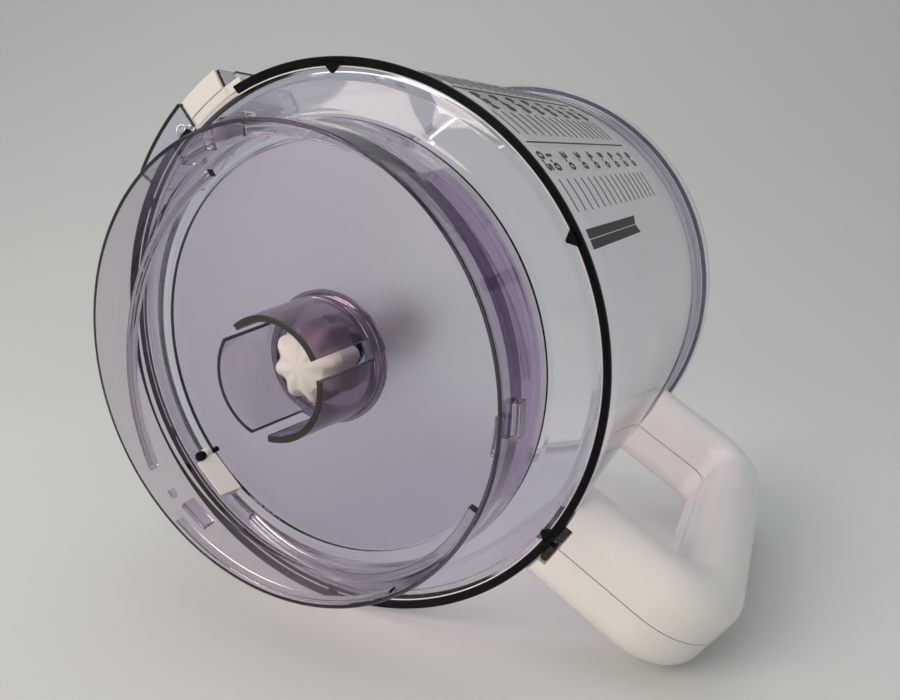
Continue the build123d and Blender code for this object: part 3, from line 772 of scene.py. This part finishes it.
# Handle screws
# Four steel pan-head screws with a cross recess, sunk in wells on the far side of the handle. Two go
# through the bowl's tongues and two close the grip.
screw_head_height = 2.0
screw_shank_radius = 1.8
screw_tip = -12.4
screw_lift = 0.05
screw_neck = screw_seat + screw_lift
head_top = screw_seat + screw_head_height
screw_crease = 40
recess_width = 1.1
recess_depth = 1.4
recess_half = 2.1
recess_overrun = 1.0
screw_parts = []
for x, z in screw_places:
    head = rod("handle_screw", screw_head_radius, screw_neck, head_top)
    for wide, tall in ((recess_half, recess_width / 2), (recess_width / 2, recess_half)):
        cut_away(head, block("recess", (-wide, -tall, head_top - recess_depth),
                             (wide, tall, head_top + recess_overrun)))
    shank = rod("screw_shank", screw_shank_radius, screw_tip, screw_neck)
    for part, edge in ((head, soft_edge), (shank, plain_edge)):
        place_across(part, x, z)
        screw_parts.append(soften(part, edge, sharp=screw_crease))
handle_screws = join(screw_parts)
fit(handle_screws, "bowl_body", "steel", (turned_steel,), "handle_screws")

# Handle clip
# Two dark tabs and a bridge, moulded with the bowl, that hook over the ends of the handle's halves where
# they meet beside the ring.
clip_inner_x = 78.75
clip_slit = 0.9
clip_bridge_low = 29.2
clip_bridge_inset = 1.0
tab_edge = 0.8
clip_parts = []
for side in (-1, 1):
    near, far = sorted((side * clip_slit, side * clip_high[1]))
    tab = block("clip_tab", (clip_inner_x, near, clip_low[2]), (clip_high[0], far, clip_high[2]))
    clip_parts.append(soften(tab, tab_edge, segments=4))
bridge_half = clip_slit + clip_bridge_inset
bridge = block("clip_bridge", (clip_inner_x, -bridge_half, clip_bridge_low),
               (clip_high[0] - clip_bridge_inset, bridge_half, clip_high[2] - clip_bridge_inset))
clip_parts.append(soften(bridge, plain_edge))
handle_clip = join(clip_parts)
handle_clip.name = "handle_clip"
# The clip's plastic is given a dense violet tint, so that it is nearly black.
clip_san = clear_plastic("black_violet_san", "#fdfcfd", "#f6f3f7", "#5d4a6a", 420.0, 0.05, 0.1)
fit(handle_clip, "bowl_body", "smoky_clear", (clip_san,))

# Interlock
# A clear housing welded to the outside of the wall guides a sprung white block, which the lid presses
# down so that the motor may start.
guide_start = -177.5
guide_end = -148.5
guide_outer = 88.4
guide_inner = 87.7
guide_bottom = 31.0
guide_top = 66.0
guide_plate = 1.5
guide_end_arc = 0.6
guide_steps = 16
slider_start = -159.7
slider_arc = 10.0
slider_inner = 82.4
slider_outer = 87.5
face_outer = 88.3
face_top = 39.6
face_arc = 10.4
window_sill = 40.0
slider_bottom = 32.2
slider_top = 59.0
arm_bottom = 51.0
arm_arc = 9.0
stem_offset = 3.0
stem_start = slider_start + stem_offset
stem_arc = 4.0
stem_top = 72.0
slide_gap = 0.2
roof_gap = 0.05
web_gap = 0.1
face_drop = 0.1
arm_overlap = 0.4
stem_overlap = 0.5
step_rings = ((79.6, 82.6, 32.5), (77.1, 79.8, 32.9))
step_end = -144.6
step_top = 33.8

roof_edge = wall_radius(guide_top) + roof_gap
floor_edge = wall_radius(wall_base_z) + guide_plate
housing_outside = [(guide_outer, guide_bottom), (guide_outer, guide_top)]
housing_over = [(guide_outer, window_sill), (guide_outer, guide_top)]
floor_top = guide_bottom + guide_plate
roof_bottom = guide_top - guide_plate
housing_roof = [(roof_edge, guide_top), (roof_edge, roof_bottom), (guide_inner, roof_bottom)]
housing_floor = [(guide_inner, floor_top), (floor_edge, floor_top), (floor_edge, guide_bottom)]
housing_foot = [(guide_inner, window_sill)]
housing_head = [(guide_inner, guide_top)]
housing_end = [
    (floor_edge, floor_top), (guide_inner, floor_top), (guide_inner, roof_bottom), (roof_edge, roof_bottom),
    (wall_base_radius + web_gap, wall_base_z + web_gap)]
housing_plan = (
    (housing_outside + housing_roof + housing_floor, guide_start, slider_start - slide_gap),
    (housing_over + housing_roof + housing_foot, slider_start - slide_gap, stem_start - slide_gap),
    (housing_over + housing_head + housing_foot, stem_start - slide_gap, stem_start + stem_arc + slide_gap),
    (housing_over + housing_roof + housing_foot, stem_start + stem_arc + slide_gap, guide_end),
    (housing_end, guide_start, guide_start + guide_end_arc),
    (housing_end, guide_end - guide_end_arc, guide_end),
)
guide_parts = []
for section, arc_start, arc_end in housing_plan:
    housing = turn("interlock_housing", section, guide_steps, arc_start, arc_end - arc_start)
    guide_parts.append(soften(housing, plain_edge))
guide = join(guide_parts)
fit(guide, "bowl_body", "smoky_clear", (clear_san,), "interlock_guide")

slider_plan = [
    (ring_block(slider_inner, slider_outer, slider_bottom, slider_top), slider_start, slider_arc),
    (ring_block(slider_inner, face_outer, slider_bottom - face_drop, face_top), slider_start, face_arc),
    (ring_block(slider_inner, slider_outer, arm_bottom, slider_top), slider_start - arm_arc,
     arm_arc + arm_overlap),
    (ring_block(slider_inner, slider_outer, slider_top - stem_overlap, stem_top), stem_start, stem_arc),
]
for step_inner, step_outer, step_bottom in step_rings:
    step_section = ring_block(step_inner, step_outer, step_bottom, step_top)
    slider_plan.append((step_section, slider_start, step_end - slider_start))
slider_parts = []
for section, arc_start, arc in slider_plan:
    slider_parts.append(soften(turn("interlock_block", section, short_steps, arc_start, arc), plain_edge))
slider = join(slider_parts)
fit(slider, "slider", "white_plastic", (white_abs,), "interlock_slider")

# Interlock spring
# A small coil of round steel wire stands on the housing's floor and pushes the block's arm up again.
coil_foot = Vector((-80.81, -22.91, 32.9))
coil_head = Vector((-80.81, -22.91, 50.6))
coil_radius = 1.5
coil_wire = 0.35
coil_turns = 6
coil_steps = 24
wire_sides = 10
bpy.ops.object.select_all(action="DESELECT")
bpy.ops.mesh.primitive_circle_add(vertices=wire_sides, radius=coil_wire * mm, rotation=(math.pi / 2, 0, 0),
                                  location=(coil_radius * mm, 0, 0))
coil = bpy.context.object
coil.name = "interlock_coil"
bpy.ops.object.transform_apply(location=True, rotation=True, scale=True)
winding = coil.modifiers.new("winding", "SCREW")
winding.steps = coil_steps
winding.render_steps = coil_steps
winding.iterations = coil_turns
winding.screw_offset = (coil_head.z - coil_foot.z) / coil_turns * mm
bpy.ops.object.modifier_apply(modifier=winding.name)
bpy.ops.object.mode_set(mode="EDIT")
bpy.ops.mesh.select_all(action="SELECT")
bpy.ops.mesh.remove_doubles(threshold=weld)
bpy.ops.mesh.fill_holes(sides=0)
bpy.ops.mesh.select_all(action="SELECT")
bpy.ops.mesh.normals_make_consistent(inside=False)
bpy.ops.object.mode_set(mode="OBJECT")
bpy.ops.object.shade_smooth_by_angle(angle=smooth_below)
for vertex in coil.data.vertices:
    vertex.co += coil_foot * mm
coil.data.materials.append(turned_steel)
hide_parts("interlock_spring")
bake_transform(coil)

# Locking pawl
# A slender white lever with a ridge along it lies at the floor's edge inside the skirt and swings on a
# black pin.
pawl_pivot = Vector((-18.72, 54.37, 0.0))
pawl_turn = Matrix.Rotation(math.radians(13.3), 3, "Z")
pawl_bottom = 16.9
pawl_top = 22.4
pawl_half_width = 2.3
pawl_start = 1.4
pawl_end = 15.4
pawl_ridge = 0.25
pawl_ridge_side = 0.9
ridge_share = 0.9
hub_radius = 1.8
hub_bottom = 20.2
pin_radius = 1.6
pin_bottom = 17.8
pin_head_top = 20.1
pin_edge = 0.6
shank_radius = 0.9
shank_bottom = 20.0
shank_top = 25.97
shank_gap = 0.1
lever = block("pawl_lever", (pawl_start, -pawl_half_width, pawl_bottom),
              (pawl_end, pawl_half_width, pawl_top))
for vertex in lever.data.vertices:
    if vertex.co.z < (pawl_bottom + pawl_top) / 2 * mm:
        vertex.co.y = vertex.co.y * pawl_ridge / pawl_half_width + pawl_ridge_side * mm
        vertex.co.x *= ridge_share
hub = rod("pawl_hub", hub_radius, hub_bottom, pawl_top)
cut_away(hub, rod("pin_bore", shank_radius + shank_gap, pawl_bottom, floor_z))
pawl = join([soften(lever, soft_edge), soften(hub, plain_edge)])
pin_head = soften(rod("pawl_pivot_pin", pin_radius, pin_bottom, pin_head_top), pin_edge, segments=4)
pin_shank = rod("pin_shank", shank_radius, shank_bottom, shank_top)
pin = join([pin_head, pin_shank])
for part in (pawl, pin):
    for vertex in part.data.vertices:
        vertex.co = pawl_turn @ vertex.co + pawl_pivot * mm
fit(pawl, "pawl", "white_plastic", (white_abs,), "locking_pawl")
fit(pin, "bowl_body", "black_rubber", (rubber,), "pawl_pin")

# Printed scale
# Grey screen-printed ink on the outside of the wall: three columns of lines with plain numbers, lines
# between the columns, and a two-strip mark beside a nub of the ring.
tick_count = 16
tick_first_z = 36.0
tick_pitch = 6.0
tick_half_width = 0.26
column_arc = 6.7
number_offset = 4.1
number_size = 5.2
ink_boldness = 0.18
separator_offset = 8.9
separator_arc = 0.35
separator_drop = 1.0
separator_top = tick_first_z + tick_count * tick_pitch
ink_lift = 0.03
ink_height = 0.07
strip_edges = ((-60.6, -58.78), (-58.62, -56.8))
strip_bottom = 34.6
strip_top = 84.0
strip_notch = 3.2
notch_half_arc = 1.6
# Each column has the angle of its end, its units in a cup and its decimals: cups, litres, ounces.
column_plan = ((-63.9, 1.0, 1), (-81.4, 0.24, 2), (-99.2, 8.0, 0))

# Screen-print ink: matt dark grey, a little thin in spots.
ink = new_material("grey_screen_print_ink")
ink_place = add_node(ink, "ShaderNodeTexCoord").outputs["Object"]
ink_cover = add_node(ink, "ShaderNodeTexNoise", Vector=ink_place, Scale=1 / (0.5 * mm), Detail=2.0)
ink_tone = add_node(ink, "ShaderNodeMix", {"data_type": "RGBA"}, _0=ink_cover.outputs["Fac"],
                    _6=linear("#1c1d20"), _7=linear("#2a2b2f"))
ink_skin = add_node(ink, "ShaderNodeBsdfPrincipled", Base_Color=ink_tone.outputs[2], Roughness=0.55)
add_node(ink, "ShaderNodeOutputMaterial", Surface=ink_skin.outputs[0])


def ink_patch(start, arc, bottom, top, steps):
    """A thin film of ink that lies on the wall between two angles and two heights."""
    low = wall_radius(bottom) + ink_lift
    high = wall_radius(top) + ink_lift
    section = ((low, bottom), (low + ink_height, bottom), (high + ink_height, top), (high, top))
    return turn("ink_patch", section, steps, start, arc)


def ink_number(words, angle, height):
    """A number whose flat letters are laid on the round wall."""
    bpy.ops.object.select_all(action="DESELECT")
    bpy.ops.object.text_add()
    piece = bpy.context.object
    piece.data.body = words
    piece.data.size = number_size * mm
    piece.data.extrude = ink_height / 2 * mm
    piece.data.offset = ink_boldness * mm
    piece.data.align_x = "CENTER"
    piece.data.align_y = "CENTER"
    piece.data.resolution_u = 3
    bpy.ops.object.convert(target="MESH")
    for vertex in piece.data.vertices:
        level = height + vertex.co.y / mm
        reach = (wall_radius(level) + ink_lift + ink_height / 2) * mm + vertex.co.z
        around = math.radians(angle) + vertex.co.x / (wall_radius(level) * mm)
        vertex.co = (reach * math.cos(around), reach * math.sin(around), level * mm)
    return piece


ink_parts = []
for column, (column_end, per_cup, decimals) in enumerate(column_plan):
    column_start = column_end - column_arc
    for index in range(tick_count):
        tick_z = tick_first_z + index * tick_pitch
        tick_low = tick_z - tick_half_width
        ink_parts.append(ink_patch(column_start, column_arc, tick_low, tick_z + tick_half_width, few_steps))
        if index % 2 == 1 or (index == 0 and column == 0):
            cups = (index + 1) / 2
            words = f"{cups * per_cup:.{decimals}f}"
            ink_parts.append(ink_number(words, column_start - number_offset, tick_z))
    ink_parts.append(ink_patch(column_start - separator_offset, separator_arc,
                               tick_first_z - separator_drop, separator_top, 1))
middle = (strip_edges[0][1] + strip_edges[1][0]) / 2
for strip_start, strip_end in strip_edges:
    strip = ink_patch(strip_start, strip_end - strip_start, strip_bottom, strip_top, few_steps)
    for vertex in strip.data.vertices:
        if vertex.co.z > (strip_top - hair) * mm:
            angle = math.degrees(math.atan2(vertex.co.y, vertex.co.x))
            vertex.co.z -= strip_notch * mm * (1 - abs(angle - middle) / notch_half_arc)
    ink_parts.append(strip)
print_layer = join(ink_parts)
print_layer.name = "printed_scale"
fit(print_layer, "bowl_body", "black_rubber", (ink,))
